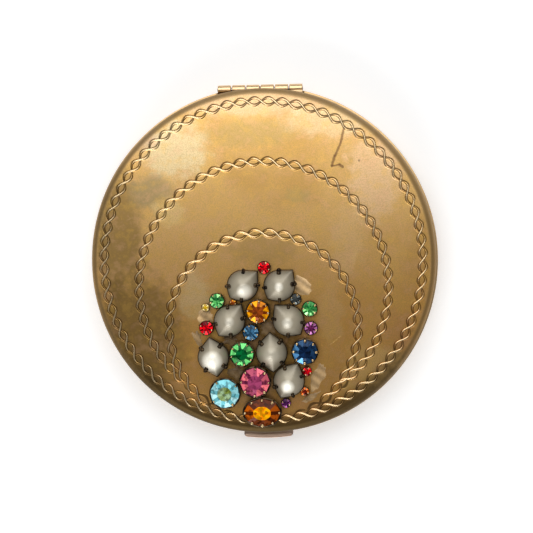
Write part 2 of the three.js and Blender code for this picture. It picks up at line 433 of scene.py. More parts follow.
def makeBrass(name, gold, brown, size, amount, roughness):
    material, tree, shader = newMaterial(name, Metallic=1.0)
    position = place(tree)
    worn = clouds(tree, position, size, amount)
    marks = scratched(tree, position, 0.6, 0.6)
    color = mixColor(tree, worn["Mask"], gold, brown)
    color = stainOrPaintedLight(tree, color, worn["Grain"], 0.35, brown)
    tree.links.new(color, shader.inputs["Base Color"])
    rough = plus(tree, roughness - 0.08, times(tree, worn["Grain"], 0.16))
    rough = plus(tree, rough, times(tree, worn["Mask"], 0.08))
    tree.links.new(rough, shader.inputs["Roughness"])
    height = plus(tree, times(tree, marks, -0.25), times(tree, worn["Grain"], 0.12))
    addBump(tree, shader, height, 0.00006, 0.5)
    return material


# rope rings pressed out of the lid: S-shaped strokes that run from the outer edge to the inner one
ropes = [
    {"name": "rope_ring_outer", "centre": (0.0, 0.0), "radius": 41.1, "strokes": 72, "shift": 0.15},
    {"name": "rope_ring_middle", "centre": (0.0, -6.5), "radius": 32.2, "strokes": 57, "shift": 0.0},
    {"name": "rope_ring_inner", "centre": (-0.3, -17.0), "radius": 24.4, "strokes": 40, "shift": 0.08},
]
strokeShape = {
    "swing": 0.94,
    "width": 0.7,
    "height": 0.34,
    "sunk": 0.03,
    "length": 0.96,
    "steps": 18,
    "across": 4,
}


lidTones = {
    "gold": (0.90, 0.55, 0.20, 1),
    "dull": (0.76, 0.44, 0.14, 1),
    "olive": (0.47, 0.295, 0.085, 1),
    "rosy": (1.0, 0.58, 0.32, 1),
    "yellow": (1.0, 0.60, 0.13, 1),
    "warm": (0.92, 0.43, 0.085, 1),
    # bright metal on new scratches and worn crests, and a painted highlight along the rope crests
    "freshAndHighlight": (1.0, 0.78, 0.46, 1),
    # groove: patina beside the rope strokes, deepened with painted shade
    "groove": (0.09, 0.05, 0.018, 1),
    "mark": (0.20, 0.10, 0.05, 1),
    # edge: painted dark reflection on the lid's rounded shoulder
    "edge": (0.26, 0.175, 0.08, 1),
    # painted shade along the bottom of the lid's shoulder
    "lowEdgeShade": (0.105, 0.068, 0.027, 1),
}
# cloudy patches, lighter and darker, on the lid's gold brass, each at its place on the lid in mm; the dark
# one under the stone cluster is residue with painted shade between the stones
lidStainsAndShade = [
    # centre, size, tone, strength, ragged edge
    ((0.0, 41.0), (26.0, 4.0), (1.0, 0.70, 0.44), 0.6, 0.4),
    ((-22.0, 29.0), (9.5, 8.5), (1.0, 0.80, 0.46), 0.9, 0.45),
    ((-31.0, 33.0), (4.5, 5.0), (0.78, 0.55, 0.36), 0.7, 0.3),
    ((-2.0, 33.0), (13.0, 4.0), (0.62, 0.43, 0.16), 0.6, 0.35),
    ((0.0, 3.5), (10.0, 5.0), (0.54, 0.34, 0.13), 0.45, 0.4),
    ((9.0, 17.0), (4.0, 2.2), (0.60, 0.44, 0.18), 0.55, 0.6),
    ((29.0, 21.0), (7.5, 12.0), (1.0, 0.66, 0.35), 1.0, 0.5),
    ((19.0, 36.0), (14.0, 5.0), (1.0, 0.76, 0.46), 0.6, 0.4),
    ((22.0, 5.0), (5.0, 10.0), (1.0, 0.66, 0.32), 0.5, 0.5),
    ((35.0, -20.0), (4.0, 8.0), (0.80, 0.40, 0.16), 0.5, 0.6),
    ((29.0, -29.0), (10.0, 8.0), (1.0, 0.62, 0.22), 0.95, 0.5),
    ((-37.5, 8.0), (7.5, 18.0), (0.37, 0.23, 0.08), 0.8, 0.3),
    ((-28.5, 18.5), (6.5, 5.0), (0.44, 0.34, 0.18), 0.75, 0.3),
    ((-24.0, 13.5), (5.0, 4.0), (1.0, 0.70, 0.30), 0.8, 0.5),
    ((-33.0, -19.0), (14.0, 18.0), (0.32, 0.19, 0.062), 0.85, 0.3),
    ((-17.5, -8.5), (5.0, 7.0), (1.0, 0.70, 0.34), 0.85, 0.5),
    ((17.0, -14.0), (4.0, 9.0), (0.98, 0.62, 0.27), 0.45, 0.6),
    # residue among the stones, with painted shade where the stones crowd together
    ((-1.0, -21.0), (12.6, 16.6), (0.12, 0.065, 0.022), 0.85, 0.2),
    ((9.0, -38.0), (9.0, 3.5), (0.85, 0.42, 0.15), 0.6, 0.5),
    ((25.3, 25.4), (0.35, 0.35), (0.10, 0.05, 0.03), 0.8, 0.05),
]
# a long mark on the lid: where each run starts, how far it goes, and its width
lidMarks = [
    ((21.7, 34.2, 0), (-1.0, -4.0, 0), 0.26),
    ((20.7, 30.2, 0), (-1.6, -3.5, 0), 0.3),
    ((19.1, 26.7, 0), (-0.8, -2.5, 0), 0.34),
    ((18.3, 24.2, 0), (2.0, 0.3, 0), 0.24),
    ((20.3, 24.5, 0), (0.8, -0.7, 0), 0.28),
]


# the painted shade patches use the same depth as the stains
stainDepth = 60  # a stain goes right through the lid's thickness


def stainOrShadeMask(tree, position, centre, size, ragged):
    given = {"Centre": (*centre, 0), "Size": (*size, stainDepth), "Ragged": ragged}
    return useGroup(tree, spot, {"Position": position, **given})["Mask"]


# where a rope shows: the middle one stops at the inner one, and the inner one at the outer one
def ropeMask(tree, position, rope, outside=None, inside=None):
    centre = (*rope["centre"], 0)
    marks = useGroup(
        tree,
        groove,
        {
            "Position": position,
            "Centre": centre,
            "Radius": rope["radius"],
            "Strokes": float(rope["strokes"]),
            "Swing": strokeShape["swing"],
            "Shift": rope["shift"],
        },
    )
    mask = marks["Mask"]
    for other, far, near in ((outside, 0.6, 1.4), (inside, -0.6, -1.4)):
        if other:
            reach = reachFrom(tree, position, (*other["centre"], 0))
            share = ramp(tree, reach, other["radius"] + far, other["radius"] + near)
            mask = times(tree, mask, share)
    return mask


def makeLidBrass():
    material, tree, shader = newMaterial("lidBrass", Metallic=1.0)
    position = place(tree)
    broad = clouds(tree, position, 26.0, 0.62)
    cloud = clouds(tree, position, 7.0, 0.45)
    marks = scratched(tree, position, 0.9, 0.3)
    fine = scratched(tree, position, -0.5, 0.4)
    color = mixColor(tree, broad["Mask"], lidTones["gold"], lidTones["dull"])
    color = stainOrPaintedLight(tree, color, cloud["Mask"], 0.4, lidTones["olive"])
    # warmer and darker towards the bottom of the lid
    south = addNode(tree, "ShaderNodeSeparateXYZ", {0: position}).outputs["Y"]
    color = stainOrPaintedLight(tree, color, ramp(tree, south, 12.0, -22.0), 0.5, lidTones["warm"])
    for centre, size, patchTone, strength, ragged in lidStainsAndShade:
        mask = stainOrShadeMask(tree, position, centre, size, ragged)
        color = stainOrPaintedLight(tree, color, mask, strength, (*patchTone, 1))
    hue = noise(tree, position, 0.3, 5.0, 0.65)
    color = stainOrPaintedLight(tree, color, ramp(tree, hue, 0.48, 0.66), 0.3, lidTones["rosy"])
    color = stainOrPaintedLight(tree, color, ramp(tree, hue, 0.5, 0.34), 0.3, lidTones["yellow"])
    color = stainOrPaintedLight(tree, color, ramp(tree, broad["Grain"], 0.4, 0.62), 0.36, lidTones["olive"])
    for start, run, width in lidMarks:
        given = {"Position": position, "Start": start, "Run": run, "Width": width}
        color = stainOrPaintedLight(tree, color, useGroup(tree, line, given)["Mask"], 0.75, lidTones["mark"])
    color = stainOrPaintedLight(tree, color, marks, 0.3, lidTones["freshAndHighlight"])
    outer = ropeMask(tree, position, ropes[0])
    middle = ropeMask(tree, position, ropes[1], outside=ropes[2], inside=ropes[0])
    inner = ropeMask(tree, position, ropes[2], inside=ropes[0])
    sunk = mathNode(tree, "MAXIMUM", outer, mathNode(tree, "MAXIMUM", middle, inner))
    raised = attribute(tree, "raised")
    # patina and painted shade in the hollows beside the rope strokes, kept off the strokes' own crests
    dark = times(tree, sunk, minus(tree, 1.0, ramp(tree, raised, 0.1, 0.6)))
    color = stainOrPaintedLight(tree, color, dark, 0.75, lidTones["groove"])
    reach = reachFrom(tree, position, (0, 0, 0))
    # painted dark reflection on the rounded shoulder, which is also made rougher
    edge = ramp(tree, reach, 42.5, 43.5)
    color = stainOrPaintedLight(tree, color, edge, 0.8, lidTones["edge"])
    # painted shade: a darker band along the bottom of the shoulder
    low = stainOrShadeMask(tree, position, (-2.0, -44.0), (56.0, 34.0), 0.2)
    lowShadeBand = times(tree, low, ramp(tree, reach, 38.6, 43.2))
    color = stainOrPaintedLight(tree, color, lowShadeBand, 0.9, lidTones["lowEdgeShade"])
    # painted highlight along the crests of the rope strokes, over a little wear
    color = stainOrPaintedLight(tree, color, ramp(tree, raised, 0.4, 0.9), 0.85, lidTones["freshAndHighlight"])
    tree.links.new(color, shader.inputs["Base Color"])
    rough = plus(tree, 0.25, times(tree, broad["Grain"], 0.14))
    rough = plus(tree, rough, times(tree, cloud["Mask"], 0.07))
    rough = plus(tree, rough, times(tree, edge, 0.25))
    rough = minus(tree, rough, times(tree, raised, 0.07))
    tree.links.new(rough, shader.inputs["Roughness"])
    height = times(tree, marks, -0.3)
    for mask, share in ((fine, -0.2), (broad["Grain"], 0.15), (dark, -1.2)):
        height = plus(tree, height, times(tree, mask, share))
    addBump(tree, shader, height, 0.00005, 0.6)
    return material


lidBrass = makeLidBrass()
agedBrass = makeBrass("agedBrass", (0.64, 0.43, 0.21, 1), (0.42, 0.27, 0.12, 1), 18.0, 0.5, 0.34)
brightBrass = makeBrass("brightBrass", (0.84, 0.60, 0.35, 1), (0.56, 0.36, 0.15, 1), 12.0, 0.45, 0.3)
roseBrass = makeBrass("roseBrass", (0.70, 0.51, 0.40, 1), (0.50, 0.33, 0.24, 1), 6.0, 0.5, 0.36)
darkBrass = makeBrass("darkBrass", (0.11, 0.075, 0.042, 1), (0.018, 0.014, 0.011, 1), 1.4, 0.85, 0.4)
prongBrass = makeBrass("prongBrass", (0.85, 0.62, 0.32, 1), (0.34, 0.20, 0.08, 1), 1.1, 0.55, 0.28)
steel = makeBrass("steel", (0.55, 0.54, 0.52, 1), (0.30, 0.28, 0.25, 1), 3.0, 0.4, 0.3)
print("materials made")


# lid shell
def makeLid():
    radius, rim, wall = case["lidRadius"], case["lidRim"], case["lidWall"]
    start = radius - case["shoulder"]
    shoulderZ = domeHeight(radius)
    outer = [(r, domeHeight(r)) for r in (0, 4, 9, 14, 19, 24, 29, 34, 38, 41)]
    arc = arcPoints(start, shoulderZ, case["shoulder"], case["shoulder"], 90, 0, 10)
    lip = [(radius, rim + 0.2), (radius - 0.2, rim), (radius - wall + 0.1, rim), (radius - wall, rim + 0.1)]
    innerSize = case["shoulder"] - wall
    inner = arcPoints(start, shoulderZ, innerSize, innerSize, 0, 90, 5)
    ceiling = [(r, domeHeight(r) - wall) for r in (38, 30, 20, 10, 0)]
    shape = turned(outer + arc + lip + inner + ceiling)
    return makePiece("lid_cover", shape, lidBrass, "lid", ["lid_shell"])


hingeNotch = {"half": 11.4, "low": 3.7, "high": 6.6}


def notchShape():
    half = hingeNotch["half"]
    return boxShape((-half, 40, hingeNotch["low"]), (half, 50, hingeNotch["high"]))


carve(makeLid(), notchShape())


# a point on one stroke: u runs along it, side from -1 to 1 across it
def strokePoint(rope, turn, u, side):
    pitch = math.tau / rope["strokes"]
    angle = math.pi / 2 - (turn + rope["shift"] + 2 * u) * pitch
    swing = strokeShape["swing"]
    offset = swing * math.sin(math.tau * u)
    slope = math.atan2(swing * math.pi * math.cos(math.tau * u), pitch * rope["radius"])
    taper = max(0.0, math.sin(math.pi * u)) ** 0.45
    across = side * strokeShape["width"] / 2 * taper
    r = rope["radius"] + offset + across * math.cos(slope)
    along = across * math.sin(slope) / rope["radius"]
    x = rope["centre"][0] + r * math.cos(angle + along)
    y = rope["centre"][1] + r * math.sin(angle + along)
    rise = strokeShape["height"] * taper * (1 - side * side) - strokeShape["sunk"]
    return Vector((x, y, domeHeight(math.hypot(x, y)) + rise)) * mm


def makeRope(rope, shown):
    bm = bmesh.new()
    raised = bm.verts.layers.float.new("raised")
    for stroke in range(rope["strokes"]):
        middle = strokePoint(rope, stroke, 0.5, 0) / mm
        if not shown(middle):
            continue
        grid = bmesh.ops.create_grid(
            bm, x_segments=strokeShape["steps"], y_segments=strokeShape["across"], size=0.5
        )
        for vert in grid["verts"]:
            u, side = vert.co.x * strokeShape["length"] + 0.5, vert.co.y * 2
            # nearness to the stroke's crest: the lid's brass paints a highlight and a little wear there, and
            # keeps it smoother
            vert[raised] = (1 - side**2) * math.sin(math.pi * u)
            vert.co = strokePoint(rope, stroke, u, side)
    bmesh.ops.recalc_face_normals(bm, faces=bm.faces)
    for face in bm.faces:
        if face.normal.z < 0:
            face.normal_flip()
    makePiece(rope["name"], bm, lidBrass, "lid", sharp=60)


def insideRing(point, rope, spare=0.0):
    return math.dist(point[:2], rope["centre"]) < rope["radius"] + spare


outerRope, middleRope, innerRope = ropes
makeRope(outerRope, lambda p: True)
makeRope(middleRope, lambda p: not insideRing(p, innerRope, 1.0) and insideRing(p, outerRope, -2.5))
makeRope(innerRope, lambda p: insideRing(p, outerRope, -2.0))
print("lid made")


# stones: each stands square on the lid's crown where its CAD solid stands
def seatOf(node, turn=0.0):
    low, high = [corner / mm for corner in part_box(node)]
    middle = (low + high) / 2
    normal = Vector((middle.x, middle.y, case["domeRadius"])).normalized()
    half = (high.z - low.z) / 2
    x, y = middle.x - normal.x * half, middle.y - normal.y * half
    point = Vector((x, y, domeHeight(math.hypot(x, y)) + 0.3)) * mm
    tilt = Vector((0, 0, 1)).rotation_difference(normal).to_matrix().to_4x4()
    return Matrix.Translation(point) @ tilt @ Matrix.Rotation(math.radians(turn), 4, "Z")


drop = {"halfWidth": 3.9, "halfLength": 5.2, "girdle": 1.5, "dome": 2.8, "skirt": 0.42, "steps": 18}
dropClaw = {"sides": (42, -42, 138, 222), "gap": 0.08, "above": 0.8, "thick": 0.42, "lean": 0.6, "bead": 0.5}
drop["turns"] = [43, 48, 53, 130, 100, 94, 63]
drop["blunt"] = [0.6, 0.6, 0.4, 0.4, 0.1, 0.15, 0.3]  # how far each lower point is worn round
# a painted highlight that glows on each drop: its place from the middle, its reach and its strength
drop["glows"] = [
    (0.6, -1.4, 2.2, 0.9),
    (0.0, -0.2, 1.3, 0.9),
    (0.2, -0.1, 1.4, 0.5),
    (-0.2, -0.4, 1.6, 0.6),
    (-0.2, -0.8, 2.9, 1.3),
    (0.0, -0.6, 2.4, 0.25),
    (-0.3, -1.2, 2.0, 1.2),
]


def dropReach(x, y, blunt, soft=0.0):
    half = drop["halfWidth"]
    flank = math.acos(half / drop["halfLength"])
    fromTip = math.hypot(math.atan2(y, abs(x)), soft)
    reach = half / math.cos(max(0.0, flank - fromTip))
    return half + (reach - half) * (1 - blunt if x < 0 else 1)


def dropShape(outline, blunt, steps=96):
    bm = turned(outline, steps)
    for vert in bm.verts:
        x, y = vert.co.x / mm, vert.co.y / mm
        size = math.hypot(x, y)
        if size > 1e-6:
            inward = min(1, size / 2.6) ** (1.0 if x > 0 else 1.6)
            soft = 0.6 * max(0.0, 1 - size / drop["halfWidth"])
            grow = 1 + (dropReach(x, y, blunt, soft) / drop["halfWidth"] - 1) * inward
            vert.co.x *= grow
            vert.co.y *= grow
    return bm


# frosted glass over a foil: grey at the skirt, pearly higher up, and a glowing painted highlight on one side
def makePearlGlass():
    material, tree, shader = newMaterial(
        "pearlGlass", Metallic=0.25, IOR=1.52, Coat_Weight=0.35, Coat_Roughness=0.3
    )
    rise = attribute(tree, "rise")
    glow = attribute(tree, "glow")
    position = place(tree)
    cloud = clouds(tree, position, 3.2, 0.5)
    color = mixColor(tree, ramp(tree, rise, -0.1, 0.85), (0.13, 0.105, 0.065, 1), (0.46, 0.405, 0.295, 1))
    veil = times(tree, cloud["Mask"], 0.35)
    color = mixColor(tree, veil, color, (0.30, 0.27, 0.21, 1))
    # painted highlight: the glow patch is lightened and made to glow a little
    color = stainOrPaintedLight(tree, color, glow, 0.9, (0.98, 0.94, 0.82, 1))
    tree.links.new(color, shader.inputs["Base Color"])
    tree.links.new(color, shader.inputs["Emission Color"])
    tree.links.new(times(tree, glow, 0.3), shader.inputs["Emission Strength"])
    rough = plus(tree, 0.36, times(tree, cloud["Grain"], 0.12))
    tree.links.new(rough, shader.inputs["Roughness"])
    addBump(tree, shader, cloud["Mask"], 0.0001, 0.25)
    return material


pearlGlass = makePearlGlass()
prong = {"flat": 0.75, "broad": 1.3, "above": 0.12}


# one claw: up the side of the stone and over its edge
def prongShape(reach, turn, low, high, thick, lean):
    bm = bmesh.new()
    foot = Vector((reach, 0, low)) * mm
    knee = Vector((reach + 0.08, 0, high - lean * 0.4)) * mm
    tip = Vector((reach - lean, 0, high + prong["above"])) * mm
    for start, end, wide in ((foot, knee, 1.0), (knee, tip, 0.85)):
        run = end - start
        upright = Vector((0, 0, 1)).rotation_difference(run.normalized()).to_matrix().to_4x4()
        bmesh.ops.create_cone(
            bm,
            cap_ends=True,
            segments=8,
            radius1=thick * wide * mm,
            radius2=thick * wide * 0.85 * mm,
            depth=run.length,
            matrix=Matrix.Translation((start + end) / 2)
            @ upright
            @ Matrix.Diagonal((prong["flat"], prong["broad"], 1, 1)),
        )
    joint = Matrix.Translation(knee)
    bmesh.ops.create_icosphere(bm, subdivisions=2, radius=thick * 1.05 * mm, matrix=joint)
    bmesh.ops.transform(bm, matrix=Matrix.Rotation(math.radians(turn), 4, "Z"), verts=bm.verts)
    return bm


# the bead at a claw's end
def beadShape(reach, turn, high, lean, size):
    bm = bmesh.new()
    tip = Vector((reach - lean, 0, high + prong["above"])) * mm
    bmesh.ops.create_icosphere(
        bm,
        subdivisions=2,
        radius=size * mm,
        matrix=Matrix.Translation(tip) @ Matrix.Diagonal((1.1, 1, 0.75, 1)),
    )
    bmesh.ops.transform(bm, matrix=Matrix.Rotation(math.radians(turn), 4, "Z"), verts=bm.verts)
    return bm


def makeDrop(index, turn, blunt):
    seat = seatOf(f"drop_cup_{index}", turn)
    girdle, dome, half, skirt = drop["girdle"], drop["dome"], drop["halfWidth"], drop["skirt"]
    neck = half * 0.99
    edge = [(0, girdle), (half * 0.9, girdle), (half, girdle + 0.12), (neck, girdle + skirt)]
    cone = []
    for k in range(1, drop["steps"]):
        t = k / drop["steps"]
        cone.append((neck * (1 - t), girdle + skirt + (dome - skirt) * (1 - (1 - t) ** 1.6)))
    stone = dropShape(edge + cone + [(0, girdle + dome)], blunt)
    rise = stone.verts.layers.float.new("rise")
    glow = stone.verts.layers.float.new("glow")
    # where this drop's painted highlight falls
    across, up, reach, strength = drop["glows"][index - 1]
    patch = Matrix.Rotation(math.radians(-turn), 2) @ Vector((across, up))
    for vert in stone.verts:
        share = (vert.co.z / mm - girdle) / dome
        vert[rise] = share
        gap = (vert.co.xy / mm - patch).length / reach
        vert[glow] = min(1.0, strength * max(0.0, 1 - gap * gap)) if share > 0 else 0.0
    bmesh.ops.transform(stone, matrix=seat, verts=stone.verts)
    nodes = [f"drop_stone_{index}"]
    makePiece(f"pearl_drop_{index}", stone, pearlGlass, "lid", nodes, 50)

    wide = half * 1.05
    outline = [(0, 0, 0), (half * 0.72, 0, 0.2), (wide, girdle - 0.55, 0.2), (wide, girdle - 0.05, 0.08)]
    outline += [(half * 0.8, girdle - 0.05, 0), (0, girdle - 0.3, 0)]
    shapes = [dropShape(filleted(outline), blunt, 48)]
    chance = random.Random(index)
    top = girdle + dropClaw["above"]
    for side in dropClaw["sides"]:
        angle = math.radians(side)
        reach = dropReach(math.cos(angle), math.sin(angle), blunt) + dropClaw["gap"]
        size = chance.uniform(0.9, 1.3)
        lean = dropClaw["lean"] * size
        shapes.append(prongShape(reach, side, 0.2, top, dropClaw["thick"] * size, lean))
        shapes.append(beadShape(reach, side, top, lean, dropClaw["bead"] * size))
    bm = merged(*shapes)
    bmesh.ops.transform(bm, matrix=seat, verts=bm.verts)
    makePiece(f"drop_setting_{index}", bm, darkBrass, "lid", [f"drop_cup_{index}"], 40)


for number, (turn, blunt) in enumerate(zip(drop["turns"], drop["blunt"]), 1):
    makeDrop(number, turn, blunt)
print("drops made")


# dried cement: thin pale films that have crept out round the cluster, thickest in their middle
cement = {"height": 0.24, "rings": 10, "turns": 40}
films = [
    {"at": (9.6, -6.4), "size": (3.1, 2.2), "turn": -32, "ragged": 0.3, "pale": 1.0},
    {"at": (-15.2, -14.0), "size": (2.0, 2.2), "turn": 20, "ragged": 0.3, "pale": 0.85},
    {"at": (-17.3, -19.6), "size": (1.0, 2.2), "turn": 24, "ragged": 0.6, "pale": 0.3},
    {"at": (13.4, -30.2), "size": (1.6, 3.8), "turn": -24, "ragged": 0.35, "pale": 0.5},
    {"at": (11.4, -35.4), "size": (2.4, 0.8), "turn": 28, "ragged": 0.4, "pale": 0.3},
    {"at": (1.0, -17.2), "size": (2.1, 1.9), "turn": 10, "ragged": 0.5, "pale": 0.15},
    {"at": (-8.9, -20.0), "size": (1.9, 1.5), "turn": 30, "ragged": 0.5, "pale": 0.1},
    {"at": (-7.6, -28.8), "size": (2.3, 1.7), "turn": -20, "ragged": 0.5, "pale": 0.12},
]


def makeCementMaterial():
    material, tree, shader = newMaterial("driedCement", IOR=1.45, Coat_Weight=0.4, Coat_Roughness=0.3)
    position = place(tree)
    cloud = clouds(tree, position, 1.6, 0.5)
    pale = attribute(tree, "pale")
    color = mixColor(tree, pale, (0.17, 0.095, 0.028, 1), (1.0, 0.66, 0.31, 1))
    color = stainOrPaintedLight(tree, color, cloud["Mask"], 0.2, (0.30, 0.17, 0.06, 1))
    tree.links.new(color, shader.inputs["Base Color"])
    tree.links.new(plus(tree, 0.35, times(tree, cloud["Grain"], 0.3)), shader.inputs["Roughness"])
    addBump(tree, shader, cloud["Grain"], 0.0002, 0.7)
    return material


def makeFilms():
    bm = bmesh.new()
    pale = bm.verts.layers.float.new("pale")
    chance = random.Random(11)
    for film in films:
        rings, turns = cement["rings"], cement["turns"]
        waves = [(k, chance.uniform(0, math.tau), chance.uniform(0.4, 1) / k**0.5) for k in range(3, 12)]
        made = bmesh.ops.create_grid(bm, x_segments=turns, y_segments=rings, size=0.5)["verts"]
        for vert in made:
            clock, share = (vert.co.x + 0.5) * math.tau, vert.co.y + 0.5
            ragged = sum(size * math.sin(k * clock + start) for k, start, size in waves)
            reach = share * (1 + film["ragged"] * ragged * 0.45)
            angle = math.radians(film["turn"])
            across = film["size"][0] * reach * math.cos(clock)
            along = film["size"][1] * reach * math.sin(clock)
            x = film["at"][0] + across * math.cos(angle) - along * math.sin(angle)
            y = film["at"][1] + across * math.sin(angle) + along * math.cos(angle)
            lump = 0.75 + 0.25 * math.sin(x * 3.1) * math.cos(y * 2.7)
            thick = cement["height"] * (1 - share**4) * lump
            vert[pale] = film["pale"] * (0.7 + 0.3 * math.sin(x * 1.7 + y * 2.3))
            vert.co = Vector((x, y, domeHeight(math.hypot(x, y)) + thick - 0.02)) * mm
    cleaned(bm)
    makePiece("cement_films", bm, makeCementMaterial(), "lid", sharp=180)


makeFilms()


# cut stones: a table, eight wedges that widen outwards with slopes between them, painted dark as shade, and
# a cone below
cut = {"table": 0.5, "culet": 0.45, "belly": 0.6, "sides": 8, "inner": 7, "outer": 15.5, "lower": 11.25}


def cutShape(radius, depth, crown, turn):
    bm = bmesh.new()
    sides = cut["sides"]

    def addRing(size, height, half):
        for k in range(sides):
            for side in (-half, half):
                angle = math.radians(turn + 360 * k / sides + side)
                point = Vector((radius * size * math.cos(angle), radius * size * math.sin(angle), height))
                bm.verts.new(point * mm)

    addRing(cut["table"], crown, cut["inner"])
    addRing(0.99, 0.12, cut["outer"])
    addRing(1, 0, cut["outer"])
    addRing(cut["culet"], -depth * cut["belly"], cut["lower"])
    bm.verts.new((0, 0, -depth * mm))
    bmesh.ops.convex_hull(bm, input=bm.verts[:], use_existing_faces=False)
    bmesh.ops.dissolve_limit(bm, angle_limit=math.radians(1), verts=bm.verts[:], edges=bm.edges[:])
    bmesh.ops.recalc_face_normals(bm, faces=bm.faces)
    table = [face for face in bm.faces if face.normal.z > 0.999]
    bmesh.ops.poke(bm, faces=table)
    return bm


# each facet is painted its own tone: the stone's colour in painted light and shade, as light through the
# stone would give it
def paintFacets(bm, radius, palette, seed, turn, shine):
    facetToneAndLight = bm.loops.layers.float_color.new("facetToneAndLight")
    chance = random.Random(seed)
    tableDark, tableBright, crownDark, crownBright = [Vector(tone) for tone in palette]
    order = sorted(bm.faces, key=lambda f: tuple(round(c, 6) for c in f.calc_center_median()))
    step = 360 / cut["sides"]
    for face in order:
        middle = face.calc_center_median()
        away = math.hypot(middle.x, middle.y) / (radius * mm)
        glow = chance.random()
        clock = (math.degrees(math.atan2(middle.y, middle.x)) - turn) / step
        wedge = round(clock) % cut["sides"]
        lit = shine[wedge] if shine else (1.0 if glow > 0.45 else 0.12)
        if face.normal.z > 0.999:
            color = tableDark.lerp(tableBright, 0.5 * glow + 0.5 * lit * glow)
        elif face.normal.z <= 0 or away > 0.9:  # girdle
            color = crownDark.lerp(crownBright, 0.05 + 0.3 * glow)
        elif abs(clock - round(clock)) < 0.25:  # wedges
            color = crownDark.lerp(crownBright, lit)
        else:
            color = crownDark.lerp(crownBright, 0.1 * glow)
        for loop in face.loops:
            loop[facetToneAndLight] = (*color, 1)


def makeFoiledGlass():
    material, tree, shader = newMaterial(
        "foiledGlass", Metallic=0.35, IOR=1.5, Coat_Weight=0.02, Coat_Roughness=0.03
    )
    shader.inputs["Specular IOR Level"].default_value = 0.2
    facetToneAndLight = attribute(tree, "facetToneAndLight", "Color")
    # painted reflections: cells of the lower facets seen through the top, darker and lighter, with roughness
    # that varies with them
    paintedReflections = addNode(tree, "ShaderNodeTexVoronoi", {"Vector": place(tree), "Scale": 1.4}, feature="F1")
    shade = addNode(tree, "ShaderNodeSeparateColor", {0: paintedReflections.outputs["Color"]}).outputs[0]
    low = mixColor(tree, 0.6, facetToneAndLight, (0, 0, 0, 1))
    color = mixColor(tree, ramp(tree, shade, 0.0, 0.6), low, facetToneAndLight)
    tree.links.new(color, shader.inputs["Base Color"])
    # the stones glow with their painted tone, as light thrown back by the foil
    tree.links.new(color, shader.inputs["Emission Color"])
    shader.inputs["Emission Strength"].default_value = 0.42
    tree.links.new(ramp(tree, shade, -0.5, 4.0), shader.inputs["Roughness"])
    return material


foiledGlass = makeFoiledGlass()
stoneColors = {
    # table dark and bright, crown dark and bright: painted shade and painted light on each stone's colour
    "topaz": ((0.13, 0.022, 0.003), (0.36, 0.07, 0.006), (0.20, 0.03, 0.002), (1.0, 0.38, 0.0)),
    "emerald": ((0.0, 0.05, 0.012), (0.0, 0.16, 0.035), (0.0, 0.06, 0.012), (0.22, 0.95, 0.26)),
    "sapphire": ((0.001, 0.006, 0.022), (0.006, 0.03, 0.10), (0.003, 0.018, 0.06), (0.14, 0.42, 0.80)),
    "rose": ((0.24, 0.03, 0.09), (0.40, 0.06, 0.16), (0.17, 0.015, 0.06), (1.0, 0.20, 0.24)),
    "aqua": ((0.20, 0.26, 0.03), (0.46, 0.70, 0.50), (0.13, 0.44, 0.50), (0.55, 0.95, 0.98)),
    "amber": ((0.95, 0.22, 0.0), (1.0, 0.60, 0.0), (0.05, 0.008, 0.001), (0.62, 0.12, 0.002)),
    "light_green": ((0.0, 0.13, 0.025), (0.14, 0.62, 0.15), (0.0, 0.12, 0.02), (0.36, 0.95, 0.32)),
    "steel_blue": ((0.01, 0.045, 0.09), (0.05, 0.16, 0.29), (0.008, 0.035, 0.075), (0.11, 0.29, 0.47)),
    "red": ((0.20, 0.0, 0.004), (0.95, 0.0, 0.006), (0.05, 0.0, 0.002), (1.0, 0.004, 0.012)),
    "black_diamond": ((0.02, 0.024, 0.024), (0.07, 0.08, 0.08), (0.012, 0.014, 0.014), (0.16, 0.18, 0.17)),
    "violet": ((0.05, 0.004, 0.03), (0.16, 0.02, 0.10), (0.02, 0.002, 0.012), (0.46, 0.15, 0.38)),
    "garnet": ((0.03, 0.003, 0.003), (0.30, 0.02, 0.004), (0.012, 0.002, 0.002), (0.80, 0.14, 0.01)),
    "purple": ((0.02, 0.004, 0.025), (0.10, 0.015, 0.11), (0.012, 0.003, 0.014), (0.30, 0.06, 0.28)),
    "yellow": ((0.40, 0.24, 0.01), (0.80, 0.52, 0.02), (0.30, 0.17, 0.01), (1.0, 0.86, 0.35)),
}
cutStones = [
    {"node": "topaz", "radius": 3.0, "prongs": 8, "turn": 15},
    {"node": "emerald", "radius": 3.1, "prongs": 8, "turn": 35},
    {"node": "sapphire", "radius": 3.3, "prongs": 8, "turn": 20},
    {"node": "rose", "radius": 3.9, "prongs": 8, "turn": 20},
    {"node": "aqua", "radius": 3.85, "prongs": 4, "turn": 12},
    {"node": "amber_oval", "radius": 3.7, "stretch": 1.3, "color": "amber", "prongs": 8, "turn": 22},
    {"node": "light_green_left", "radius": 1.9, "color": "light_green", "prongs": 5, "turn": 30},
    {"node": "light_green_right", "radius": 1.95, "color": "light_green", "prongs": 5, "turn": 10},
    {"node": "steel_blue", "radius": 2.05, "prongs": 6, "turn": 20},
]
smallStones = [
    {"node": "red_top", "radius": 1.6, "color": "red"},
    {"node": "red_left", "radius": 1.8, "color": "red"},
    {"node": "red_right", "radius": 1.2, "color": "red"},
    {"node": "black_diamond", "radius": 1.4},
    {"node": "violet", "radius": 1.7},
    {"node": "garnet", "radius": 1.15},
    {"node": "purple", "radius": 1.2},
    {"node": "yellow", "radius": 1.0},
    {"node": "small_amber", "radius": 0.9, "color": "topaz"},
]
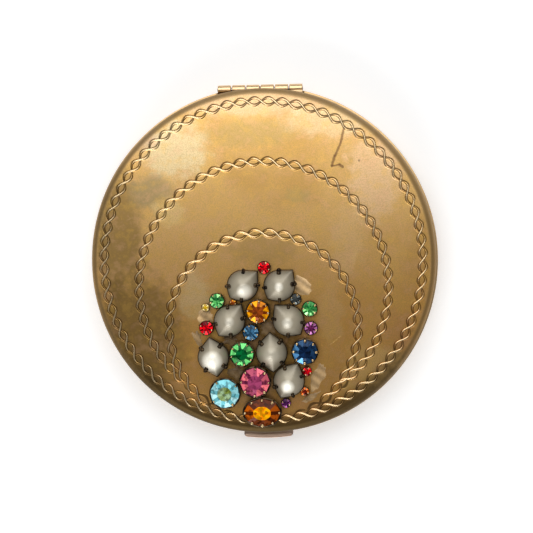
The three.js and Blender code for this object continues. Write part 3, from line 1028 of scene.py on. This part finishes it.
# how much light each wedge of the larger stones throws back
wedgeShine = {
    "topaz": [0.9, 0.35, 0.85, 0.5, 1.0, 0.8, 0.1, 0.85],
    "emerald": [0.4, 0.85, 0.9, 1.0, 0.35, 0.6, 0.95, 0.9],
    "sapphire": [0.05, 0.04, 0.1, 0.45, 0.6, 0.95, 0.06, 0.03],
    "rose": [0.45, 0.6, 0.2, 0.9, 0.85, 0.15, 0.8, 1.0],
    "aqua": [0.35, 0.1, 0.15, 0.5, 1.0, 0.6, 0.9, 0.8],
    "amber_oval": [0.5, 0.03, 0.1, 0.8, 0.7, 0.12, 0.2, 0.5],
}
setting = {"depth": 0.58, "crown": 0.3, "base": 0.5, "lip": 0.06, "thick": 0.24, "lean": 0.4}


def makeCutStone(stone, seed, small):
    node, radius = stone["node"], stone["radius"]
    stretch, turn = stone.get("stretch", 1), stone.get("turn", 45)
    depth, crown = setting["depth"] * radius, setting["crown"] * radius
    girdle = depth + setting["base"]
    seat = seatOf(f"{node}_stone" if small else f"{node}_cup")
    gem = cutShape(radius * 0.97, depth, crown, turn)
    paintFacets(gem, radius, stoneColors[stone.get("color", node)], seed, turn, wedgeShine.get(node))
    bmesh.ops.scale(gem, vec=(stretch, 1, 1), verts=gem.verts[:])
    lift = Matrix.Translation((0, 0, girdle * mm))
    bmesh.ops.transform(gem, matrix=seat @ lift, verts=gem.verts)
    makePiece(f"{node}_gem", gem, foiledGlass, "lid", [f"{node}_stone"], 1)

    lip = girdle - setting["lip"]
    outline = [(0, 0, 0), (radius * 0.62, 0, 0.15), (radius * 1.06, girdle - 0.5, 0.2)]
    outline += [(radius * 1.06, lip - 0.1, 0.05), (radius * 0.98, lip, 0)]
    outline += [(radius * 0.92, lip - 0.12 * depth, 0), (0, girdle - 0.15 - depth, 0)]
    cup = turned(filleted(outline), 40)
    bmesh.ops.scale(cup, vec=(stretch, 1, 1), verts=cup.verts)
    shapes = [cup]
    count = stone.get("prongs", 4)
    chance = random.Random(seed * 7)
    size = min(1, 0.45 + radius * 0.16)  # smaller stones have finer claws
    top = girdle + crown * 0.45
    lean = setting["lean"] * size
    for k in range(count):
        side = turn + 180 / cut["sides"] + 360 * k / count
        angle = math.radians(side)
        reach = radius / math.hypot(math.cos(angle) / stretch, math.sin(angle))
        shapes.append(prongShape(reach, side, 0.3, top, setting["thick"] * size, lean))
        bead = beadShape(reach, side, top, lean, chance.uniform(0.2, 0.42) * size)
        bmesh.ops.transform(bead, matrix=seat, verts=bead.verts)
        beads.append(bead)
    bm = merged(*shapes)
    bmesh.ops.transform(bm, matrix=seat, verts=bm.verts)
    nodes = [] if small else [f"{node}_cup"]
    makePiece(f"{node}_setting", bm, darkBrass, "lid", nodes, 40)


beads = []
for number, stone in enumerate(cutStones):
    makeCutStone(stone, number + 3, False)
for number, stone in enumerate(smallStones):
    makeCutStone(stone, number + 31, True)
makePiece("claw_beads", merged(*beads), prongBrass, "lid", sharp=60)
print("stones made")


# base shell: a shallow pan with a rolled lower edge, a pressed foot ring and a fine line under its rim
base = {"foot": 40.2, "corner": 3.2, "footRing": 33.5, "line": 4.25, "notch": 6.9, "notchLow": 2.3}


def makeBase():
    radius, rim, wall = case["baseRadius"], case["baseRim"], case["baseWall"]
    across = radius - base["foot"]
    ringAt, line = base["footRing"], base["line"]
    under = [(0, 0), (10, 0), (20, 0), (ringAt - 1.1, 0), (ringAt - 0.7, 0.05), (ringAt - 0.35, 0.22)]
    under += [(ringAt, 0.28), (ringAt + 0.35, 0.22), (ringAt + 0.7, 0.05), (ringAt + 1.1, 0), (37, 0)]
    corner = arcPoints(base["foot"], base["corner"], across, base["corner"], -90, 0, 14)
    side = [(radius, line - 0.18), (radius - 0.1, line), (radius, line + 0.18), (radius, rim - 0.2)]
    lip = [(radius - 0.06, rim - 0.06), (radius - 0.2, rim), (radius - wall + 0.2, rim)]
    lip += [(radius - wall, rim - 0.2)]
    inner = arcPoints(base["foot"], base["corner"], across - wall, base["corner"] - wall, 0, -90, 10)
    floor = [(ringAt, wall), (20, wall), (0, wall)]
    shape = turned(under + corner + side + lip + inner + floor)
    shell = makePiece("base_pan", shape, agedBrass, "case", ["base_shell"])
    half = base["notch"]
    catchNotch = boxShape((-half, -50, base["notchLow"]), (half, -42, 9))
    return carve(shell, notchShape(), catchNotch)


makeBase()


# bends a shape lying along X round the case: y becomes the distance from the middle
def bent(bm, radius, cuts=16, front=False):
    edges = [e for e in bm.edges if abs((e.verts[0].co - e.verts[1].co).x) > 0.8 * e.calc_length()]
    bmesh.ops.subdivide_edges(bm, edges=edges, cuts=cuts, use_grid_fill=True)
    for vert in bm.verts:
        angle = vert.co.x / (radius * mm)
        away = vert.co.y
        vert.co.x = away * math.sin(angle)
        vert.co.y = away * math.cos(angle) * (-1 if front else 1)
    bmesh.ops.recalc_face_normals(bm, faces=bm.faces)
    return bm


# hinge: rolled knuckles on each leaf, alternating, and the pin through them
hinge = {
    "radius": 1.15,
    "bore": 0.62,
    "pitch": 3.7,
    "length": 3.4,
    "count": 6,
    "first": -10.95,
    "leaf": 0.5,
    "leafOuter": 43.45,
}
pinBox = [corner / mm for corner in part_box("hinge_pin")]
hingeLine = {"y": (pinBox[0].y + pinBox[1].y) / 2, "z": (pinBox[0].z + pinBox[1].z) / 2}


def aroundPin(bm):
    toX = Matrix.Rotation(math.radians(90), 4, "Y")
    shift = Matrix.Translation((0, hingeLine["y"] * mm, hingeLine["z"] * mm))
    bmesh.ops.transform(bm, matrix=shift @ toX, verts=bm.verts)
    return bm


def knuckle(start):
    end = start + hinge["length"]
    outer, inner = hinge["radius"], hinge["bore"]
    outline = [(inner, start, 0.12), (outer, start, 0.2), (outer, end, 0.2), (inner, end, 0.12)]
    return aroundPin(turned(filleted(outline, 3), 40, closed=True))


def makeLeaf(name, first, strip, step, body, node):
    outer = hinge["leafOuter"]
    inner = outer - hinge["leaf"]
    starts = [hinge["first"] + hinge["pitch"] * i for i in range(first, hinge["count"], 2)]
    ends = (starts[0], starts[-1] + hinge["length"])
    shapes = [bent(boxShape((ends[0], inner, strip[0]), (ends[1], outer, strip[1]), 0.12), outer, 24)]
    low, high = min(strip[0], step[0]), max(strip[1], step[1])
    for start in starts:
        end = start + hinge["length"]
        back = math.sqrt(inner**2 - max(abs(start), abs(end)) ** 2) + 0.15
        shapes.append(bent(boxShape((start, inner, low), (end, outer, high), 0.12), outer, 6))
        shapes.append(boxShape((start, back, step[0]), (end, hingeLine["y"], step[1]), 0.1))
        shapes.append(knuckle(start))
    makePiece(name, merged(*shapes), brightBrass, body, [node], 40)


makeLeaf("base_leaf", 0, (2.5, 3.6), (4.1, 4.7), "case", "base_hinge_leaf")
makeLeaf("lid_leaf", 1, (6.7, 8.0), (5.6, 6.2), "lid", "lid_hinge_leaf")
pinHalf, pinRadius = pinBox[1].x, (pinBox[1].z - pinBox[0].z) / 2
pinOutline = [(0, -pinHalf, 0), (pinRadius, -pinHalf, 0.2), (pinRadius, pinHalf, 0.2), (0, pinHalf, 0)]
pinShape = aroundPin(turned(filleted(pinOutline), 24))
makePiece("hinge_rod", pinShape, steel, "case", ["hinge_pin"])
print("case and hinge made")


# catch: the push piece with its post and barb, the guide, the spring and the keeper on the lid
push = {"half": 6.5, "reach": 46.3, "inner": 43.4, "low": 2.6, "high": 4.8, "corner": 0.9, "dish": 0.22}


def makePush():
    half, reach, inner = push["half"], push["reach"], push["inner"]
    low, high = push["low"], push["high"]
    plate = boxShape((-half, inner, low), (half, reach, high))
    upright = [
        e for e in plate.edges
        if abs(e.verts[0].co.z - e.verts[1].co.z) > mm and e.verts[0].co.y > (reach - 0.1) * mm
    ]
    rounded(plate, upright, push["corner"], 5)
    flats = [f for f in plate.faces if abs(f.normal.z) > 0.9]
    for face in flats:
        bmesh.ops.inset_region(plate, faces=[face], thickness=0.42 * mm, depth=0)
        inward = -push["dish"] * mm if face.normal.z > 0 else push["dish"] * mm
        bmesh.ops.translate(plate, vec=(0, 0, inward), verts=face.verts)
    rims = [e for e in plate.edges if e.is_manifold and e.calc_face_angle() > 0.6]
    rounded(plate, rims, 0.12, 3)
    bent(plate, reach, 22, front=True)
    shapes = [
        plate,
        boxShape((-3.6, -43.9, low), (3.6, -41.3, 4.0), 0.12),
        boxShape((-3.6, -41.9, low), (3.6, -41.3, 6.6), 0.12),
        boxShape((-3.2, -42.3, 6.1), (3.2, -41.35, 6.6), 0.2),
    ]
    makePiece("push_catch", merged(*shapes), roseBrass, "catch", ["catch_button"], 40)


makePush()
guideShapes = [
    boxShape((-7.2, -41.0, 1.1), (7.2, -38.3, 1.5), 0.1),
    boxShape((-7.2, -38.8, 1.1), (7.2, -38.3, 4.0), 0.15),
    boxShape((-7.2, -41.0, 1.1), (-6.7, -38.3, 3.6), 0.15),
    boxShape((6.7, -41.0, 1.1), (7.2, -38.3, 3.6), 0.15),
]
makePiece("push_guide", merged(*guideShapes), brightBrass, "case", ["catch_guide"], 40)
bow = {"radius": 19.0, "spread": 19.0, "front": -40.2, "thickness": 0.3, "low": 1.9, "high": 3.7}


def makeSpring():
    reach = bow["radius"]
    half = reach * math.radians(bow["spread"])
    strip = boxShape((-half, reach - bow["thickness"], bow["low"]), (half, reach, bow["high"]), 0.08)
    bent(strip, reach, 30, front=True)
    bmesh.ops.translate(strip, vec=(0, (bow["front"] + reach) * mm, 0), verts=strip.verts)
    makePiece("push_spring", strip, steel, "case", ["catch_spring"], 40)


makeSpring()
keeperShapes = [
    bent(boxShape((-4, 43.0, 5.6), (4, 43.5, 7.4), 0.15), 43.5, 12, front=True),
    bent(boxShape((-4, 42.6, 5.6), (4, 43.5, 6.0), 0.12), 43.5, 12, front=True),
]
makePiece("catch_keeper", merged(*keeperShapes), brightBrass, "lid", ["lid_keeper"], 40)
print("catch made")


# frame, powder pan, sifter and mirror ring: turned sheet brass, each outline as radius, height, corner
fittings = {
    "inner_frame": [
        (35.4, 1.1, 0.15), (36.0, 1.1, 0.15), (36.0, 4.4, 0.35), (41.8, 4.4, 0.35),
        (41.8, 2.2, 0.15), (42.4, 2.2, 0.15), (42.4, 6.4, 0.28), (41.8, 6.4, 0.28),
        (41.8, 5.0, 0.5), (40.9, 5.0, 0.12), (40.7, 4.88, 0.1), (40.5, 5.0, 0.12),
        (37.3, 5.0, 0.12), (37.1, 4.88, 0.1), (36.9, 5.0, 0.12), (35.4, 5.0, 0.3),
    ],
    "powder_pan": [
        (0, 1.1, 0), (35.0, 1.1, 0.5), (35.0, 3.2, 0.18),
        (34.6, 3.2, 0.18), (34.6, 1.5, 0.4), (0, 1.5, 0),
    ],
    "sifter_ring": [
        (30.6, 3.5, 0.2), (35.0, 3.5, 0.2), (35.0, 4.0, 0.24), (34.1, 4.0, 0.1),
        (33.7, 3.86, 0.1), (31.8, 3.86, 0.1), (31.4, 4.0, 0.1), (30.6, 4.0, 0.24),
    ],
    "mirror_ring": [
        (38.0, 6.9, 0.1), (39.2, 6.9, 0.2), (39.4, 7.0, 0.1), (41.4, 7.0, 0.1), (41.6, 6.9, 0.2),
        (42.6, 6.9, 0.3), (42.6, 8.9, 0.2), (42.0, 8.9, 0.2), (42.0, 7.2, 0.2), (38.0, 7.2, 0.14),
    ],
}


def makeFitting(name, node, body="case"):
    outline = fittings[node]
    onAxis = outline[0][0] == 0
    shape = turned(filleted(outline), closed=not onAxis)
    return makePiece(name, shape, brightBrass, body, [node])


powderFrame = makeFitting("powder_frame", "inner_frame")
makeFitting("loose_powder_pan", "powder_pan")
makeFitting("sifter_rim", "sifter_ring")
makeFitting("mirror_rim", "mirror_ring", "lid")
carve(powderFrame, boxShape((-7.6, -44, 1), (7.6, -40.2, 7)))


# powder, pressed down a little and worn to one side; the sifter threads and card share its finish
def makeMatte(name, size, amount, tones, bump, grainTone=None, **principled):
    material, tree, shader = newMaterial(name, **principled)
    soft = clouds(tree, place(tree), size, amount)
    color = mixColor(tree, soft["Mask"], *tones)
    if grainTone:
        color = stainOrPaintedLight(tree, color, soft["Grain"], 0.3, grainTone)
    tree.links.new(color, shader.inputs["Base Color"])
    addBump(tree, shader, soft["Grain"], *bump)
    return material


powderTones = ((0.80, 0.52, 0.36, 1), (0.72, 0.43, 0.29, 1))
powderGrain = (0.90, 0.66, 0.50, 1)
pressedPowder = makeMatte("pressedPowder", 9.0, 0.4, powderTones, (0.0002, 0.7), powderGrain, Roughness=0.95)
cake = {"radius": 34.2, "low": 1.8, "high": 2.9, "rings": 24, "wave": 0.05, "hollow": 0.35}


def makePowder():
    radius, low, high = cake["radius"], cake["low"], cake["high"]
    rings = cake["rings"]
    top = [(radius * (1 - k / rings) * 0.985, high - cake["wave"]) for k in range(rings + 1)]
    bm = turned([(0, low), (radius - 0.3, low), (radius, low + 0.3), (radius, high - 0.4)] + top, 96)
    for vert in bm.verts:
        x, y, z = vert.co / mm
        if z > high - 0.3:
            dip = cake["hollow"] * math.exp(-((x - 8) ** 2 + (y + 4) ** 2) / 180)
            ripple = cake["wave"] * math.sin(x * 0.9 + math.sin(y * 0.5)) * math.cos(y * 0.8)
            vert.co.z = (high - cake["wave"] - dip + ripple) * mm
    makePiece("face_powder", bm, pressedPowder, "case", ["powder_cake"])


makePowder()


# sifter cloth: threads that pass over and under each other
net = {"radius": 30.3, "z": 3.725, "pitch": 1.2, "thread": 0.11, "wave": 0.05}


threadTones = ((0.78, 0.70, 0.56, 1), (0.62, 0.50, 0.38, 1))
sifterThread = makeMatte(
    "sifterThread", 5.0, 0.5, threadTones, (0.00004, 0.5), Roughness=0.7, Sheen_Weight=0.3
)


def makeNet():
    bm = bmesh.new()
    radius, pitch, sides = net["radius"], net["pitch"], 4
    count = int((radius - 0.4) / pitch)
    for way in range(2):
        for row in range(-count, count + 1):
            aside = row * pitch
            half = math.sqrt(radius**2 - aside**2) - 0.15
            steps = max(4, int(half * 4 / pitch))
            thread = bmesh.ops.create_grid(bm, x_segments=steps, y_segments=sides, size=0.5)["verts"]
            for vert in thread:
                x, turn = vert.co.x * 2 * half, (vert.co.y + 0.5) * math.tau
                thick = net["thread"] if abs(vert.co.x) < 0.499 else 0.0
                over = net["wave"] * math.cos(math.pi * (x / pitch + row + way))
                y = aside + thick * math.cos(turn)
                z = net["z"] + over + thick * math.sin(turn) * (1 if way else -1)
                vert.co = Vector((y, x, z) if way else (x, y, z)) * mm
    cleaned(bm)
    makePiece("sifter_cloth", bm, sifterThread, "case", ["sifter_mesh"], 60)


makeNet()
print("powder fittings made")


# puff: a velour pad, sewn round its edge, with a satin band across it
puff = {"radius": 34.2, "low": 4.3, "high": 6.4, "puckers": 56, "turns": 168}


def makeVelour():
    material, tree, shader = newMaterial(
        "velour", Roughness=0.95, Sheen_Weight=0.9, Sheen_Roughness=0.4
    )
    shader.inputs["Sheen Tint"].default_value = (1.0, 0.86, 0.78, 1)
    position = place(tree)
    soft = clouds(tree, position, 11.0, 0.45)
    pile = addNode(
        tree, "ShaderNodeTexNoise", {"Vector": position, "Scale": 5.5, "Detail": 3.0, "Roughness": 0.8}
    ).outputs["Fac"]
    color = mixColor(tree, soft["Mask"], (0.84, 0.60, 0.44, 1), (0.72, 0.47, 0.34, 1))
    shadow = mixColor(tree, 0.25, color, (0.45, 0.22, 0.15, 1))
    color = mixColor(tree, ramp(tree, pile, 0.35, 0.7), shadow, color)
    tree.links.new(color, shader.inputs["Base Color"])
    addBump(tree, shader, pile, 0.0003, 0.8)
    return material


def makeSatin():
    material, tree, shader = newMaterial("satin", Roughness=0.42, Sheen_Weight=0.3, Anisotropic=0.5)
    position = place(tree)
    rib = addNode(
        tree, "ShaderNodeTexWave", {"Vector": position, "Scale": 2.4, "Distortion": 0.2}, bands_direction="X"
    ).outputs["Fac"]
    soft = clouds(tree, position, 8.0, 0.35)
    color = mixColor(tree, rib, (0.60, 0.30, 0.23, 1), (0.74, 0.42, 0.33, 1))
    color = stainOrPaintedLight(tree, color, soft["Mask"], 0.4, (0.50, 0.25, 0.19, 1))
    tree.links.new(color, shader.inputs["Base Color"])
    addBump(tree, shader, rib, 0.00005, 0.6)
    return material


def makePuff():
    radius, low, high = puff["radius"], puff["low"], puff["high"]
    middle = (low + high) / 2
    upper = []
    for k in range(30):
        r = radius * math.sin(math.pi / 2 * (1 - k / 30))
        share = r / radius
        upper.append((r, middle + (high - middle) * (1 - share**6) ** 0.5))
    lower = [(r, max(low, 2 * middle - z)) for r, z in reversed(upper)]
    bm = turned([(0, low)] + lower[:-1] + upper + [(0, high)], puff["turns"])
    for vert in bm.verts:
        x, y, z = vert.co / mm
        r, clock = math.hypot(x, y), math.atan2(y, x)
        edge = max(0.0, min(1, (r / radius - 0.86) / 0.14))
        pucker = 0.5 + 0.5 * math.sin(clock * puff["puckers"] + 1.6 * math.sin(clock * 5))
        side = 1 if z > middle else -0.4
        sink = edge * (1 - edge) * 4 * 0.5 * pucker
        soft = 0.09 * math.sin(x * 0.19 + 1) * math.cos(y * 0.23) + 0.05 * math.sin(x * 0.5 + y * 0.37)
        band = 0.22 * math.exp(-((y / 7.5) ** 4)) * (1 if z > middle else 0)
        vert.co.z -= (side * sink + (0.14 + soft + band if z > middle + 0.2 else 0)) * mm
        vert.co.z = max(vert.co.z, low * mm)
        pull = 1 - 0.006 * pucker * edge
        vert.co.x *= pull
        vert.co.y *= pull
    pad = makePiece("velour_puff", bm, makeVelour(), "case", ["powder_puff"], 180)


makePuff()
ribbon = {"half": 32.0, "wide": 12.0, "thick": 0.16, "top": 6.78, "end": 5.62}


def makeRibbon():
    half, wide, thick = ribbon["half"], ribbon["wide"], ribbon["thick"]
    bm = bmesh.new()
    flat = Matrix.Diagonal((2 * half * mm, wide * mm, 1, 1))
    bmesh.ops.create_grid(bm, x_segments=80, y_segments=14, size=0.5, matrix=flat)
    for vert in bm.verts:
        x, y = vert.co.x / mm, vert.co.y / mm
        share = abs(x) / half
        low = ribbon["end"] + (ribbon["top"] - ribbon["end"]) * (1 - share**7)
        vert.co.z = (low + 0.05 * math.sin(x * 0.45 + y * 0.3) + 0.03 * math.cos(y * 1.1)) * mm
    bmesh.ops.recalc_face_normals(bm, faces=bm.faces)
    bmesh.ops.solidify(bm, geom=bm.faces[:], thickness=thick * mm)
    band = makePiece("satin_band", bm, makeSatin(), "case", ["puff_ribbon"], 60)


makeRibbon()
print("puff made")


# mirror: bevelled glass, silvered behind, with old spots creeping in from its edge
glassDisc = {"radius": 41.4, "low": 7.5, "high": 8.4, "bevel": 0.25}
cardDisc = {"radius": 41.4, "low": 8.7, "high": 9.1, "bevel": 0.1}


def makeMirrorMaterial():
    material, tree, shader = newMaterial("silvering", Metallic=1.0)
    position = place(tree)
    reach = reachFrom(tree, position, (0, 0, 0))
    cloud = clouds(tree, position, 3.0, 0.5)
    edge = ramp(tree, reach, 33.0, 41.0)
    old = times(tree, edge, cloud["Mask"])
    color = mixColor(tree, old, (0.86, 0.88, 0.89, 1), (0.30, 0.26, 0.20, 1))
    tree.links.new(color, shader.inputs["Base Color"])
    rough = plus(tree, 0.025, times(tree, old, 0.3))
    tree.links.new(rough, shader.inputs["Roughness"])
    return material


cardTones = ((0.13, 0.105, 0.08, 1), (0.08, 0.065, 0.05, 1))
card = makeMatte("card", 6.0, 0.5, cardTones, (0.00005, 0.6), (0.2, 0.17, 0.13, 1), Roughness=0.9)


def discShape(radius, low, high, bevel):
    return turned(filleted([(0, low, 0), (radius, low, bevel), (radius, high, bevel), (0, high, 0)], 3))


makePiece("mirror_glass", discShape(**glassDisc), makeMirrorMaterial(), "lid", ["mirror"])
makePiece("mirror_card", discShape(**cardDisc), card, "lid", ["mirror_backing"])
print("mirror made")


# floor, lights and camera
floorPlane = {"size": 3.0, "sunk": 0.05, "tone": 0.86, "glow": 0.35}


def makeStage():
    bm = bmesh.new()
    down = Matrix.Translation((0, 0, -floorPlane["sunk"] * mm))
    bmesh.ops.create_grid(bm, x_segments=1, y_segments=1, size=floorPlane["size"], matrix=down)
    mesh = bpy.data.meshes.new("floor")
    bm.to_mesh(mesh)
    bm.free()
    floor = bpy.data.objects.new("floor", mesh)
    bpy.context.collection.objects.link(floor)
    material, _, shader = newMaterial("whiteFloor", Roughness=0.9)
    shader.inputs["Base Color"].default_value = (*[floorPlane["tone"]] * 3, 1)
    shader.inputs["Emission Color"].default_value = (1, 1, 1, 1)
    shader.inputs["Emission Strength"].default_value = floorPlane["glow"]
    mesh.materials.append(material)


# a light panel that faces the middle of the compact
def addPanel(name, at, size, power):
    light = bpy.data.lights.new(name, "AREA")
    light.shape = "RECTANGLE"
    light.size, light.size_y = size
    light.energy = power
    panel = bpy.data.objects.new(name, light)
    bpy.context.collection.objects.link(panel)
    toward = -Vector(at)
    panel.matrix_world = Matrix.Translation(at) @ toward.to_track_quat("-Z", "Y").to_matrix().to_4x4()


view = {"frame": 0.1378, "distance": 0.9, "tiltX": 3.5, "tiltY": 3.5, "roll": 1.4, "aim": (0.6, -1.6, 6.7)}


def makeCamera():
    camera = bpy.data.cameras.new("camera")
    camera.sensor_width = 36
    camera.lens = 36 * view["distance"] / view["frame"]
    camera.clip_end = 20
    holder = bpy.data.objects.new("camera", camera)
    bpy.context.collection.objects.link(holder)
    aim = Vector(view["aim"]) * mm
    tilts = [math.tan(math.radians(view[way])) for way in ("tiltX", "tiltY")]
    away = Vector((*tilts, 1)).normalized()
    up = Matrix.Rotation(math.radians(-view["roll"]), 3, "Z") @ Vector((0, 1, 0))
    right = up.cross(away).normalized()
    up = away.cross(right)
    turn = Matrix((right, up, away)).transposed().to_4x4()
    holder.matrix_world = Matrix.Translation(aim + away * view["distance"]) @ turn
    bpy.context.scene.camera = holder


makeStage()
world = bpy.data.worlds.new("studio")
world.use_nodes = True
world.node_tree.nodes["Background"].inputs["Color"].default_value = (1, 1, 1, 1)
world.node_tree.nodes["Background"].inputs["Strength"].default_value = 0.2
bpy.context.scene.world = world
addPanel("window", (0.0, 0.95, 1.4), (2.4, 1.6), 25.0)
addPanel("frontCard", (-0.25, -0.95, 0.52), (0.8, 0.4), 5.0)
makeCamera()
bpy.context.scene.view_settings.view_transform = "Standard"
